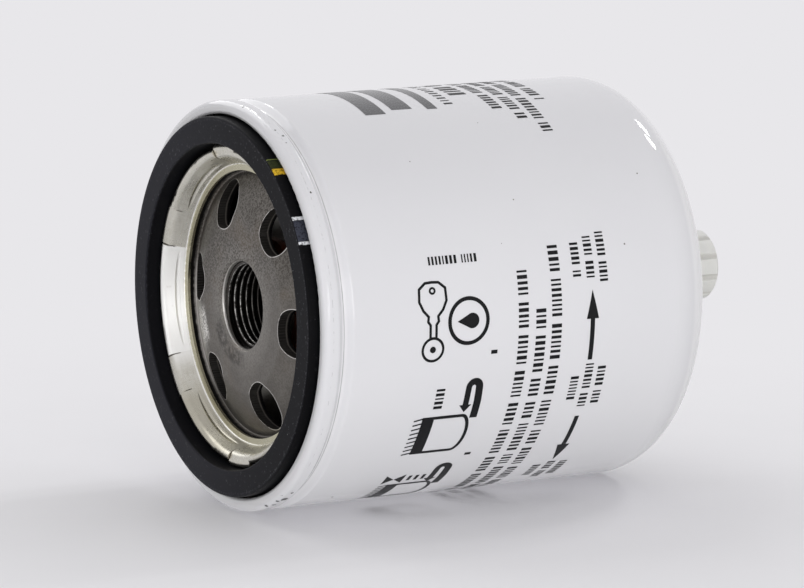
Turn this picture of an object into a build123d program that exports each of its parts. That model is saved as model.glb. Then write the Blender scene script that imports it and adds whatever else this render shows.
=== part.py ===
from build123d import *
import os
from math import asin, atan2, cos, degrees, pi, radians, sin, sqrt, tan

# Spin-on fuel and water separator: painted can, sealing end, filter element and drain valve.
# The axis is Z, the head thread opens upwards (+Z) and the drain points down.
# The origin is the centre of the thread's mouth. Millimetres throughout.

# Can
can_diameter = 93.0
can_wall = 0.8
can_height = 104.2
knuckle_radius = 11.0
crown_radius = 270.0
drain_pad_radius = 15.0

# Rolled seam at the open end
seam_height = 5.4
seam_proud = 0.1
seam_groove_depth = 1.5
seam_roll_radius = 1.5
seam_lip_width = 3.0
seam_lip_depth = 1.9
seam_bend = 0.9
seam_groove_slope = 0.3
fold_gap = 0.05

# Sealing gasket
gasket_outer_gap = 0.4
gasket_width = 6.1
gasket_stand = 2.1
gasket_edge_radius = 0.45
mouth_below_gasket = 6.6

# Gasket retainer, one tinned sheet
retainer_sheet = 0.6
channel_depth = 5.5
channel_side_gap = 0.2
channel_inner_gap = 1.2
roll_below_seam = 0.1
roll_width = 1.8
roll_fall = 1.0
slope_run = 2.1
ring_width = 1.4
crease_bend = 0.4
bend = 0.6
roll_bend = 0.85
shoulder_bend = 1.8
lug_count = 6
lug_angle = 16.0
lug_start_angle = -2.5
lug_reach = 0.9
lug_drop = 0.5
lug_lip = 1.6
slit_width = 0.2
slit_depth = 2.9
mark_rise = 1.9
mark_depth = 0.25
mark_section_radius = 0.9
mark_arc_inset = 3.9

# Base plate with the head thread
plate_thickness = 3.0
plate_rim_gap = 1.6
plate_step_run = 0.5
plate_overhang = 0.25
plate_bend = 0.3
boss_height = 1.1
boss_bend = 3.0
cone_run = 10.35
cone_angle = 18.8
brow_run = 4.7
brow_angle = 27.0
brow_bend = 12.0
thread_radius = 10.0
thread_length = 11.5
neck_wall = 2.0
neck_bend = 1.2
inlet_count = 6
inlet_diameter = 11.0
inlet_inset = 6.65
inlet_start_angle = 13.9

# Filter element
element_below_plate = 3.6
end_cap_sheet = 0.6
end_cap_radius = 38.4
end_cap_skirt = 4.4
element_length = 66.0
adhesive_depth = 2.0
adhesive_edge_gap = 0.1
pleat_count = 48
pleat_cap_gap = 0.6
pleat_tube_gap = 1.3
paper_thickness = 0.9
clip_depth = 4.0
clip_sheet = 0.4
clip_gap = 0.05
tube_radius = 18.6
tube_wall = 0.6
tube_hole_diameter = 6.0
tube_hole_rows = 5
tube_holes_round = 6
seal_section = 2.0
seal_flange_width = 0.8
seal_flange_height = 2.0
seal_below_cap = 4.0
spring_wire = 2.4
spring_radius = 19.0
spring_turns = 2
spring_clearance = 0.1
locator_gap = 0.3
locator_depth = 3.0

# Drain fitting and valve
bushing_neck_radius = 9.0
bushing_collar_radius = 11.5
bushing_collar_height = 7.0
bushing_rim_radius = 11.6
bushing_rim_height = 1.4
bushing_bore_radius = 6.0
bushing_seat_radius = 4.2
bushing_seat_height = 1.6
washer_thickness = 1.0
stem_clearance = 0.06
nose_radius = 3.2
nose_rise = 3.0
ring_section = 1.5
ring_pocket_gap = 0.06
ring_groove_height = 1.7
ring_groove_land = 0.4
relief_height = 2.4
relief_depth = 1.0
port_diameter = 1.2
knob_diameter = 16.3
knob_length = 14.5
knob_gap = 0.3
knob_groove_count = 10
knob_groove_radius = 0.9
knob_groove_depth = 0.5
knob_groove_start = -4.0
knob_edge = 0.5
outlet_radius = 3.0
outlet_depth = 10.0
passage_radius = 1.5

# Levels along the axis, from the thread's mouth at zero
gasket_face = mouth_below_gasket
seam_top = gasket_face - gasket_stand
groove_level = seam_top - seam_height
can_bottom = seam_top - can_height
channel_floor = seam_top - channel_depth
plate_seat = channel_floor - retainer_sheet
plate_underside = plate_seat - plate_thickness
neck_end = -thread_length
cap_top = plate_underside - element_below_plate
cap_under = cap_top - end_cap_sheet
element_bottom = cap_top - element_length
bottom_cap_inside = element_bottom + end_cap_sheet
media_top = cap_under - adhesive_depth
media_bottom = bottom_cap_inside + adhesive_depth
rim_low = can_bottom + can_wall + washer_thickness
rim_top = rim_low + bushing_rim_height
seat_level = rim_top - bushing_seat_height
bushing_end = can_bottom - bushing_collar_height
knob_top = bushing_end - knob_gap
knob_end = knob_top - knob_length
outlet_top = knob_end + outlet_depth
shoulder_top = seat_level - ring_section
relief_low = shoulder_top - relief_height
port_level = relief_low + relief_height / 2
ring_groove_high = relief_low - ring_groove_land
ring_groove_low = ring_groove_high - ring_groove_height
ring_middle = (ring_groove_low + ring_groove_high) / 2

# Radii shared by neighbouring pieces
can_radius = can_diameter / 2
groove_radius = can_radius - seam_groove_depth
seam_radius = can_radius + seam_proud
seam_mouth_radius = can_radius - seam_lip_width
gasket_outer_radius = seam_mouth_radius - gasket_outer_gap
gasket_inner_radius = gasket_outer_radius - gasket_width
channel_outer_radius = gasket_outer_radius + channel_side_gap
channel_inner_radius = gasket_inner_radius - channel_inner_gap
roll_inner_radius = channel_inner_radius - roll_width
crease_radius = roll_inner_radius - slope_run
mark_arc_radius = crease_radius - mark_arc_inset
ring_inner_radius = crease_radius - ring_width
roll_top = seam_top - roll_below_seam
roll_foot_level = roll_top - roll_fall
slope_angle = atan2(roll_foot_level - channel_floor, slope_run)
slit_level = roll_top - slit_depth
lug_root = slit_level - retainer_sheet
lug_top = roll_top - lug_drop
lug_foot_level = roll_foot_level - lug_drop
lug_radius = channel_inner_radius + lug_reach
slit_angle = degrees(slit_width / channel_inner_radius)
mark_level = channel_floor + mark_rise
shoulder_level = seam_top - seam_lip_depth - fold_gap
flange_top = seam_top - can_wall - fold_gap
hook_inner_radius = seam_mouth_radius + can_wall + fold_gap
hook_outer_radius = seam_radius - can_wall - fold_gap
hook_corner = seam_roll_radius - can_wall
step_top_radius = ring_inner_radius + plate_overhang
cone_foot_radius = step_top_radius - plate_step_run
cone_top_radius = cone_foot_radius - cone_run
brow_radius = cone_foot_radius - brow_run
brow_level = boss_height - (brow_radius - cone_top_radius) * tan(radians(cone_angle))
cone_foot_level = brow_level - brow_run * tan(radians(brow_angle))
foot_depth = plate_thickness / cos(radians(brow_angle))
boss_underside = boss_height - plate_thickness
inlet_circle_radius = cone_foot_radius - inlet_inset
plate_radius = groove_radius - can_wall - plate_rim_gap
neck_radius = thread_radius + neck_wall
seal_inner_radius = neck_radius
seal_outer_radius = seal_inner_radius + seal_section
potting_inner_radius = tube_radius + adhesive_edge_gap
potting_outer_radius = end_cap_radius - end_cap_sheet - adhesive_edge_gap
end_cap_bend = end_cap_sheet + adhesive_edge_gap
locator_radius = spring_radius - spring_wire / 2 - locator_gap
pleat_tip_radius = end_cap_radius - end_cap_sheet - pleat_cap_gap - paper_thickness / 2
pleat_foot_radius = tube_radius + pleat_tube_gap + paper_thickness / 2
pleat_depth = pleat_tip_radius - pleat_foot_radius
stem_radius = bushing_bore_radius - stem_clearance
ring_groove_radius = bushing_bore_radius - ring_section - 1.5 * ring_pocket_gap
relief_radius = stem_radius - relief_depth
knob_radius = knob_diameter / 2


def crown_rise(radius):
    """How far the crowned end has risen at a radius, above its lowest point on the axis."""
    return crown_radius - sqrt(crown_radius**2 - radius**2)


def ring(inner, outer, low, high):
    """Outline of a plain ring's section, for a revolve about the axis."""
    Polyline((inner, low), (outer, low), (outer, high), (inner, high), close=True)


def side_plane(angle):
    """Upright plane through the axis, turned from +X by an angle in degrees."""
    turn = radians(angle)
    return Plane((0, 0, 0), x_dir=(cos(turn), sin(turn), 0), z_dir=(sin(turn), -cos(turn), 0))


def slope_radius(level):
    """Radius of the retainer's sloping band at a level between its crease and its roll."""
    return crease_radius + (level - channel_floor) / tan(slope_angle)


def underside(radius, level, inner_angle, outer_angle):
    """The corner on the base plate's underside below a corner between two of its slopes."""
    turn = radians((inner_angle + outer_angle) / 2)
    reach = plate_thickness / cos(radians((outer_angle - inner_angle) / 2))
    return (radius - reach * sin(turn), level - reach * cos(turn))


def fold_point(fold):
    """One fold of the paper's middle line: outer tips are even, inner feet are odd."""
    radius = pleat_foot_radius if fold % 2 else pleat_tip_radius
    angle = fold * pi / pleat_count
    return Vector(radius * cos(angle), radius * sin(angle))


os.makedirs("parts", exist_ok=True)

# Can: one drawn sheet, rolled over at the mouth and crowned at the drain end
crown_lowest = can_bottom - crown_rise(drain_pad_radius)
knuckle_slope = asin((can_radius - knuckle_radius) / (crown_radius - knuckle_radius))
knuckle_centre = (
    crown_lowest + crown_radius - (crown_radius - knuckle_radius) * cos(knuckle_slope)
)
groove_run = seam_groove_depth + seam_groove_slope
spring_seat = can_bottom + can_wall + crown_rise(spring_radius) - crown_rise(drain_pad_radius)
spring_low = spring_seat + spring_wire / 2 + spring_clearance
spring_high = element_bottom - spring_wire / 2

with BuildPart() as can:
    with BuildSketch(Plane.XZ) as can_section:
        with BuildLine() as can_sheet:
            seam_line = FilletPolyline(
                (seam_mouth_radius, seam_top - seam_lip_depth),
                (seam_mouth_radius, seam_top),
                (seam_radius, seam_top),
                (seam_radius, groove_level + groove_run),
                (groove_radius, groove_level),
                (can_radius, groove_level - groove_run),
                (can_radius, knuckle_centre),
                radius=[seam_bend, seam_roll_radius, seam_bend, seam_bend, seam_bend],
            )
            knuckle = JernArc(
                start=seam_line @ 1,
                tangent=(0, -1),
                radius=knuckle_radius,
                arc_size=-(90 - degrees(knuckle_slope)),
            )
            crown = TangentArc(knuckle @ 1, (drain_pad_radius, can_bottom), tangent=knuckle % 1)
            Line(crown @ 1, (bushing_neck_radius, can_bottom))
            offset(amount=can_wall, side=Side.RIGHT)
        make_face()
    revolve(axis=Axis.Z)
can.part.label = "can"
export_step(can.part, "parts/can.step")

# Gasket: a square-cut rubber ring that stands proud of the seam
with BuildPart() as gasket:
    with BuildSketch(Plane.XZ) as gasket_section:
        with BuildLine() as gasket_outline:
            FilletPolyline(
                (gasket_inner_radius, channel_floor),
                (gasket_outer_radius, channel_floor),
                (gasket_outer_radius, gasket_face),
                (gasket_inner_radius, gasket_face),
                radius=gasket_edge_radius,
                close=True,
            )
        make_face()
    revolve(axis=Axis.Z)
gasket.part.label = "gasket"
export_step(gasket.part, "parts/gasket.step")

# Retainer: one sheet from the ring on the base plate, over the roll, round the gasket's
# channel and out into the rolled seam, where its edge is folded double. Slits free a lug at
# each sixth, and between the lugs the slope has a shallow crescent where it was pressed
with BuildPart() as retainer:
    with BuildSketch(side_plane(lug_start_angle + 180 / lug_count)) as retainer_section:
        with BuildLine() as retainer_line:
            FilletPolyline(
                (ring_inner_radius, channel_floor),
                (crease_radius, channel_floor),
                (roll_inner_radius, roll_foot_level),
                (channel_inner_radius, roll_top),
                (channel_inner_radius, channel_floor),
                (channel_outer_radius, channel_floor),
                (channel_outer_radius, shoulder_level),
                (hook_outer_radius, shoulder_level),
                radius=[crease_bend, shoulder_bend, roll_bend, bend, bend, bend],
            )
            offset(amount=retainer_sheet, side=Side.RIGHT)
        make_face()
        with BuildLine() as folded_edge:
            Polyline(
                (hook_inner_radius, shoulder_level - retainer_sheet),
                (hook_outer_radius, shoulder_level - retainer_sheet),
                (hook_outer_radius, flange_top - hook_corner),
                (hook_outer_radius - hook_corner, flange_top),
                (hook_inner_radius, flange_top),
                close=True,
            )
        make_face()
    revolve(axis=Axis.Z)
    for lug in range(lug_count):
        lug_edge = lug_start_angle + lug * 360 / lug_count - lug_angle / 2
        with BuildSketch(side_plane(lug_edge - slit_angle)) as slot_section:
            with BuildLine() as slot_outline:
                ring(crease_radius, gasket_inner_radius, slit_level, seam_top)
            make_face()
        revolve(axis=Axis.Z, revolution_arc=lug_angle + 2 * slit_angle, mode=Mode.SUBTRACT)
        with BuildSketch(side_plane(lug_edge)) as lug_section:
            with BuildLine() as lug_line:
                FilletPolyline(
                    (slope_radius(lug_root), lug_root),
                    (slope_radius(lug_foot_level), lug_foot_level),
                    (lug_radius, lug_top),
                    (lug_radius, lug_top - lug_lip),
                    (channel_inner_radius, slit_level),
                    (channel_inner_radius, lug_root),
                    radius=[shoulder_bend, roll_bend, bend, bend],
                )
                offset(amount=retainer_sheet, side=Side.RIGHT)
            make_face()
        revolve(axis=Axis.Z, revolution_arc=lug_angle)
    mark_reach = slope_radius(mark_level) - (mark_section_radius - mark_depth) / sin(slope_angle)
    with Locations((0, 0, mark_level)):
        with PolarLocations(mark_reach - mark_arc_radius, lug_count, lug_start_angle + 180 / lug_count):
            Torus(mark_arc_radius, mark_section_radius, mode=Mode.SUBTRACT)
retainer.part.label = "retainer"
export_step(retainer.part, "parts/retainer.step")

# Base plate: thick pressed steel, a boss and a cone that steepens towards the retainer's ring,
# with the thread's neck drawn down from the boss and the inlets punched through the cone
with BuildPart() as base_plate:
    with BuildSketch(Plane.XZ) as plate_section:
        with BuildLine() as plate_outline:
            FilletPolyline(
                (thread_radius, boss_height),
                (cone_top_radius, boss_height),
                (brow_radius, brow_level),
                (cone_foot_radius, cone_foot_level),
                (step_top_radius, plate_seat),
                (plate_radius, plate_seat),
                (plate_radius, plate_underside),
                (step_top_radius, plate_underside),
                (cone_foot_radius, cone_foot_level - foot_depth),
                underside(brow_radius, brow_level, cone_angle, brow_angle),
                underside(cone_top_radius, boss_height, 0, cone_angle),
                (neck_radius, boss_underside),
                (neck_radius, neck_end),
                (thread_radius, neck_end),
                radius=[boss_height, boss_bend, brow_bend] + [plate_bend] * 6
                + [brow_bend, boss_bend, neck_bend, 0, 0],
                close=True,
            )
        make_face()
    revolve(axis=Axis.Z)
    with Locations((0, 0, boss_height)):
        with PolarLocations(inlet_circle_radius, inlet_count, inlet_start_angle):
            Hole(radius=inlet_diameter / 2)
base_plate.part.label = "base_plate"
export_step(base_plate.part, "parts/base_plate.step")

# Inner seal: grommet on the neck, squeezed against the element's top cap
with BuildPart() as inner_seal:
    with BuildSketch(Plane.XZ) as seal_section_sketch:
        with BuildLine() as seal_outline:
            Polyline(
                (seal_inner_radius, cap_top - seal_below_cap),
                (seal_outer_radius, cap_top - seal_below_cap),
                (seal_outer_radius, cap_top),
                (seal_outer_radius + seal_flange_width, cap_top),
                (seal_outer_radius + seal_flange_width, cap_top + seal_flange_height),
                (seal_inner_radius, cap_top + seal_flange_height),
                close=True,
            )
        make_face()
    revolve(axis=Axis.Z)
inner_seal.part.label = "inner_seal"
export_step(inner_seal.part, "parts/inner_seal.step")

# Filter element: two pressed caps, potting, pleated paper and a perforated tube
with BuildPart() as top_end_cap:
    with BuildSketch(Plane.XZ) as top_cap_section:
        with BuildLine() as top_cap_sheet:
            FilletPolyline(
                (seal_outer_radius, cap_top - seal_below_cap),
                (seal_outer_radius, cap_top),
                (end_cap_radius, cap_top),
                (end_cap_radius, cap_top - end_cap_skirt),
                radius=end_cap_bend,
            )
            offset(amount=end_cap_sheet, side=Side.RIGHT)
        make_face()
    revolve(axis=Axis.Z)
top_end_cap.part.label = "top_end_cap"
export_step(top_end_cap.part, "parts/top_end_cap.step")

with BuildPart() as bottom_end_cap:
    with BuildSketch(Plane.XZ) as bottom_cap_section:
        with BuildLine() as bottom_cap_sheet:
            FilletPolyline(
                (0, element_bottom - locator_depth),
                (locator_radius, element_bottom - locator_depth),
                (locator_radius, element_bottom),
                (end_cap_radius, element_bottom),
                (end_cap_radius, element_bottom + end_cap_skirt),
                radius=end_cap_bend,
            )
            offset(amount=end_cap_sheet, side=Side.LEFT)
        make_face()
    revolve(axis=Axis.Z)
bottom_end_cap.part.label = "bottom_end_cap"
export_step(bottom_end_cap.part, "parts/bottom_end_cap.step")

with BuildPart() as top_adhesive:
    with BuildSketch(Plane.XZ) as top_adhesive_section:
        with BuildLine() as top_adhesive_outline:
            ring(potting_inner_radius, potting_outer_radius, cap_under - adhesive_depth, cap_under)
        make_face()
    revolve(axis=Axis.Z)
top_adhesive.part.label = "top_adhesive"
export_step(top_adhesive.part, "parts/top_adhesive.step")

with BuildPart() as bottom_adhesive:
    with BuildSketch(Plane.XZ) as bottom_adhesive_section:
        with BuildLine() as bottom_adhesive_outline:
            ring(potting_inner_radius, potting_outer_radius, bottom_cap_inside, media_bottom)
        make_face()
    revolve(axis=Axis.Z)
bottom_adhesive.part.label = "bottom_adhesive"
export_step(bottom_adhesive.part, "parts/bottom_adhesive.step")

with BuildPart() as filter_media:
    with BuildSketch(Plane.XY.offset(media_bottom)) as pleats:
        with BuildSketch(mode=Mode.PRIVATE) as pleat_middle:
            with BuildLine() as pleat_line:
                Polyline(*[fold_point(fold) for fold in range(2 * pleat_count)], close=True)
            make_face()
        offset(pleat_middle.sketch, amount=paper_thickness / 2, mode=Mode.ADD)
        offset(pleat_middle.sketch, amount=-paper_thickness / 2, mode=Mode.SUBTRACT)
    extrude(amount=media_top - media_bottom)
filter_media.part.label = "filter_media"
export_step(filter_media.part, "parts/filter_media.step")

# Clip: a strip folded over one pleat, where the two ends of the paper meet
clip_half_width = paper_thickness / 2 + clip_gap
clip_mouth = clip_half_width + clip_depth * fold_point(1).Y / pleat_depth
with BuildPart() as media_clip:
    with BuildSketch(Plane.XY.offset(media_bottom)) as clip_section:
        with BuildLine() as clip_line:
            Polyline(
                (pleat_tip_radius - clip_depth, -clip_mouth),
                (pleat_tip_radius + clip_half_width, -clip_half_width),
                (pleat_tip_radius + clip_half_width, clip_half_width),
                (pleat_tip_radius - clip_depth, clip_mouth),
            )
            offset(amount=clip_sheet, side=Side.RIGHT)
        make_face()
    extrude(amount=media_top - media_bottom)
media_clip.part.label = "media_clip"
export_step(media_clip.part, "parts/media_clip.step")

with BuildPart() as centre_tube:
    with BuildSketch(Plane.XZ) as tube_section:
        with BuildLine() as tube_outline:
            ring(tube_radius - tube_wall, tube_radius, bottom_cap_inside, cap_under)
        make_face()
    revolve(axis=Axis.Z)
    for row in range(tube_hole_rows):
        row_level = media_bottom + (row + 0.5) * (media_top - media_bottom) / tube_hole_rows
        with Locations((0, 0, row_level)):
            for turn in range(tube_holes_round // 2):
                Cylinder(
                    radius=tube_hole_diameter / 2,
                    height=2 * tube_radius + 2,
                    rotation=(90, 0, turn * 360 / tube_holes_round + row % 2 * 180 / tube_holes_round),
                    mode=Mode.SUBTRACT,
                )
centre_tube.part.label = "centre_tube"
export_step(centre_tube.part, "parts/centre_tube.step")

# Element spring: open coil that stands on the can's crown, round the bottom cap's locator
with BuildPart() as element_spring:
    with BuildLine() as coil_line:
        Helix(
            pitch=(spring_high - spring_low) / spring_turns,
            height=spring_high - spring_low,
            radius=spring_radius,
            center=(0, 0, spring_low),
        )
    with BuildSketch(Plane(origin=coil_line.line @ 0, z_dir=coil_line.line % 0)) as coil_wire:
        Circle(spring_wire / 2)
    sweep(is_frenet=True)
element_spring.part.label = "element_spring"
export_step(element_spring.part, "parts/element_spring.step")

# Drain fitting: turned bushing with a collar outside the can and a staked rim inside
with BuildPart() as drain_bushing:
    with BuildSketch(Plane.XZ) as bushing_section:
        with BuildLine() as bushing_outline:
            Polyline(
                (bushing_bore_radius, bushing_end),
                (bushing_collar_radius - knob_edge, bushing_end),
                (bushing_collar_radius, bushing_end + knob_edge),
                (bushing_collar_radius, can_bottom),
                (bushing_neck_radius, can_bottom),
                (bushing_neck_radius, rim_low),
                (bushing_rim_radius, rim_low),
                (bushing_rim_radius, rim_top),
                (bushing_seat_radius, rim_top),
                (bushing_seat_radius, seat_level),
                (bushing_bore_radius, seat_level),
                close=True,
            )
        make_face()
    revolve(axis=Axis.Z)
drain_bushing.part.label = "drain_bushing"
export_step(drain_bushing.part, "parts/drain_bushing.step")

with BuildPart() as bushing_washer:
    with BuildSketch(Plane.XZ) as washer_section:
        with BuildLine() as washer_outline:
            ring(bushing_neck_radius, bushing_rim_radius, can_bottom + can_wall, rim_low)
        make_face()
    revolve(axis=Axis.Z)
bushing_washer.part.label = "bushing_washer"
export_step(bushing_washer.part, "parts/bushing_washer.step")

# Drain valve: fluted knob, stem with a groove for its ring, and a nose through the seat
with BuildPart() as drain_valve:
    with BuildSketch(Plane.XZ) as valve_section:
        with BuildLine() as valve_outline:
            Polyline(
                (0, outlet_top + outlet_radius),
                (passage_radius, outlet_top + outlet_radius),
                (passage_radius, outlet_top),
                (outlet_radius, outlet_top),
                (outlet_radius, knob_end),
                (knob_radius - knob_edge, knob_end),
                (knob_radius, knob_end + knob_edge),
                (knob_radius, knob_top - knob_edge),
                (knob_radius - knob_edge, knob_top),
                (stem_radius, knob_top),
                (stem_radius, ring_groove_low),
                (ring_groove_radius, ring_groove_low),
                (ring_groove_radius, ring_groove_high),
                (stem_radius, ring_groove_high),
                (stem_radius, relief_low),
                (relief_radius, relief_low),
                (relief_radius, shoulder_top),
                (nose_radius, shoulder_top),
                (nose_radius, shoulder_top + nose_rise),
                (0, shoulder_top + nose_rise),
                close=True,
            )
        make_face()
    revolve(axis=Axis.Z)
    with BuildSketch(Plane.XY.offset(outlet_top)) as passage:
        Circle(passage_radius)
    extrude(amount=port_level - outlet_top, mode=Mode.SUBTRACT)
    with Locations((0, 0, port_level)):
        Cylinder(
            radius=port_diameter / 2,
            height=2 * stem_radius,
            rotation=(90, 0, 0),
            mode=Mode.SUBTRACT,
        )
    with BuildSketch(Plane.XY.offset(knob_end)) as flutes:
        groove_centre = knob_radius + knob_groove_radius - knob_groove_depth
        with PolarLocations(groove_centre, knob_groove_count, knob_groove_start):
            Circle(knob_groove_radius)
    extrude(amount=knob_length, mode=Mode.SUBTRACT)
drain_valve.part.label = "drain_valve"
export_step(drain_valve.part, "parts/drain_valve.step")

with BuildPart() as valve_ring:
    with BuildSketch(Plane.XZ) as valve_ring_section:
        with Locations((ring_groove_radius + ring_pocket_gap + ring_section / 2, ring_middle)):
            Circle(ring_section / 2)
    revolve(axis=Axis.Z)
valve_ring.part.label = "valve_ring"
export_step(valve_ring.part, "parts/valve_ring.step")

with BuildPart() as seat_ring:
    with BuildSketch(Plane.XZ) as seat_ring_section:
        with BuildLine() as seat_ring_outline:
            ring(nose_radius + ring_pocket_gap, relief_radius, shoulder_top, seat_level)
        make_face()
    revolve(axis=Axis.Z)
seat_ring.part.label = "seat_ring"
export_step(seat_ring.part, "parts/seat_ring.step")
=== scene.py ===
"""Fuel and water separator: finishes of its pieces, the head thread's ridge and the can's print."""
import math
import random

import bmesh
import bpy
from mathutils import Matrix, Vector
from mathutils.geometry import tessellate_polygon


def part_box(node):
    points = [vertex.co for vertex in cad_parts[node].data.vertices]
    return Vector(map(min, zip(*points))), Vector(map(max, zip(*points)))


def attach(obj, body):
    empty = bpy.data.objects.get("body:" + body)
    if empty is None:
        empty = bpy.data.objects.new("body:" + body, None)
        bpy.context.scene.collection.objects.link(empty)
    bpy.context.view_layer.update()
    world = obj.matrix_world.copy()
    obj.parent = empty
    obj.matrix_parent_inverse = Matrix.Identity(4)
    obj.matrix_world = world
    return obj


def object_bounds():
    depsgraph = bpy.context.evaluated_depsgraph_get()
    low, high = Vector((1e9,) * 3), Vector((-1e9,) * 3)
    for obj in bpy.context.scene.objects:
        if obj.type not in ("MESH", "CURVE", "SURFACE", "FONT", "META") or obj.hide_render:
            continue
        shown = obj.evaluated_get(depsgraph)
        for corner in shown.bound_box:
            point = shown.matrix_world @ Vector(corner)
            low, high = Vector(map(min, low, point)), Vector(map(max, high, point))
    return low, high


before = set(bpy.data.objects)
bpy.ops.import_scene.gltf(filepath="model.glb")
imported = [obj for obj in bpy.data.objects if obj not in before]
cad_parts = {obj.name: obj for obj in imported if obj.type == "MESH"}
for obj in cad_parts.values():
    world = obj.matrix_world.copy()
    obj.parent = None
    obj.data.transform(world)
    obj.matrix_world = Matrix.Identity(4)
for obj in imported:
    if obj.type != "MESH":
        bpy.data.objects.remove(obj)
cad_low, cad_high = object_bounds()

MM = 0.001

# Camera, from the outlines of the can and its gasket in the photograph
FOCAL_PIXELS = 5500
PHOTO_WIDTH = 804
SENSOR_WIDTH = 36
CAMERA_AZIMUTH = 2.4816
CAMERA_ELEVATION = 28.6692
CAMERA_ROLL = -95.1618
CAMERA_DISTANCE = 1.26716
CAMERA_AIM = Vector((-0.91, 3.96, -42.70)) * MM
CAMERA_CLIP = (0.05, 20)

# The separator lies on its side: this way is up, and the floor is level with the seam
UP = Vector((0.990, -0.142, 0)).normalized()
BACKGROUND = (0.807, 0.799, 0.823)

# Places on the can are its distance below the gasket's face and an angle round it
GASKET_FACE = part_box("gasket")[1].z / MM
CAN_RADIUS = 46.5
SEAM_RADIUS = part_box("can")[1].x / MM
GROOVE_LEVEL = -0.9
GROOVE_RADIUS = 45.0
SEAM_LINE = (2.30, 2.42)

THREAD_RADIUS = 10.0
THREAD_LENGTH = 11.5
THREAD_PITCH = 1.5
THREAD_CREST = 9.19

INLET_CIRCLE = 23.6
INLET_RADIUS = 5.5
INLET_START = 13.9
INLET_COUNT = 6

# Retainer: radii and levels in millimetres, angles in degrees
LUG_START = -2.5
LUG_HALF = 8.16
LUG_COUNT = 6
SLIT_LEVELS = (1.6, 4.2)
# Angles and radii of the painted highlight on the retainer
BRIGHT_PART = (65.7, 109.3)
BRIGHT_PAST = (33.6, 35.4)
SHADED_PART = (126, 168)
SHADED_EDGE = (34.6, 35.8)

RING_CREASE = 31.9
STEP_RADIUS = 30.25

# Plate: its boss, the cone round it and the steeper slope outside the brow
BOSS_HEIGHT = 1.1
CONE_TOP = 19.9
CONE_FALL = 0.340
BROW_RADIUS = 25.55
BROW_FALL = 0.170

# Where the plate has a painted glint and a painted sheen, where it is smudged, where a painted sheen lies round
# its neck, and depths on its inlets' walls of a painted highlight line and of black painted shade
GLINT_RADII = (18.2, 24.6)
GLINT_ANGLES = (92, 113)
SHEEN_RADII = (22.5, 26.5)
SHEEN_ANGLES = (74, 126)
SMUDGE_RADII = (10.8, 14.4)
SMUDGE_ANGLES = (104, 176)
NECK_SHEEN = (11, 17)
WALL_HIGHLIGHT = (2.0, 2.3)
WALL_SHADE = (2.35, 2.6)

# Radii of the gasket's wall and bore, the paper's folds and the knob's flutes, and the bars' angles
GASKET_WALL = 42.95
GASKET_BORE = 37.05
FOLD_RADII = (36.4, 37.1)
FLUTE_FOOT = (7.0, 7.4)
FLUTE_TOP = (7.75, 8.1)
BAR_SHADE = (-30, 10)


class Field:
    """A value that varies over a surface. Arithmetic on it adds the Math nodes."""

    def __init__(self, finish, socket):
        self.finish = finish
        self.socket = socket

    def maths(self, operation, *others):
        return self.finish.node("Math", {"operation": operation}, dict(enumerate((self, *others))))

    def __add__(self, other):
        return self.maths("ADD", other)

    def __sub__(self, other):
        return self.maths("SUBTRACT", other)

    def __rsub__(self, other):
        return self.finish.node("Math", {"operation": "SUBTRACT"}, {0: other, 1: self})

    def __mul__(self, other):
        return self.maths("MULTIPLY", other)

    def __mod__(self, other):
        return self.maths("FLOORED_MODULO", other)

    def __abs__(self):
        return self.maths("ABSOLUTE")

    def __or__(self, other):
        """The larger of the two."""
        return self.maths("MAXIMUM", other)

    __radd__ = __add__
    __rmul__ = __mul__


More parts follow.
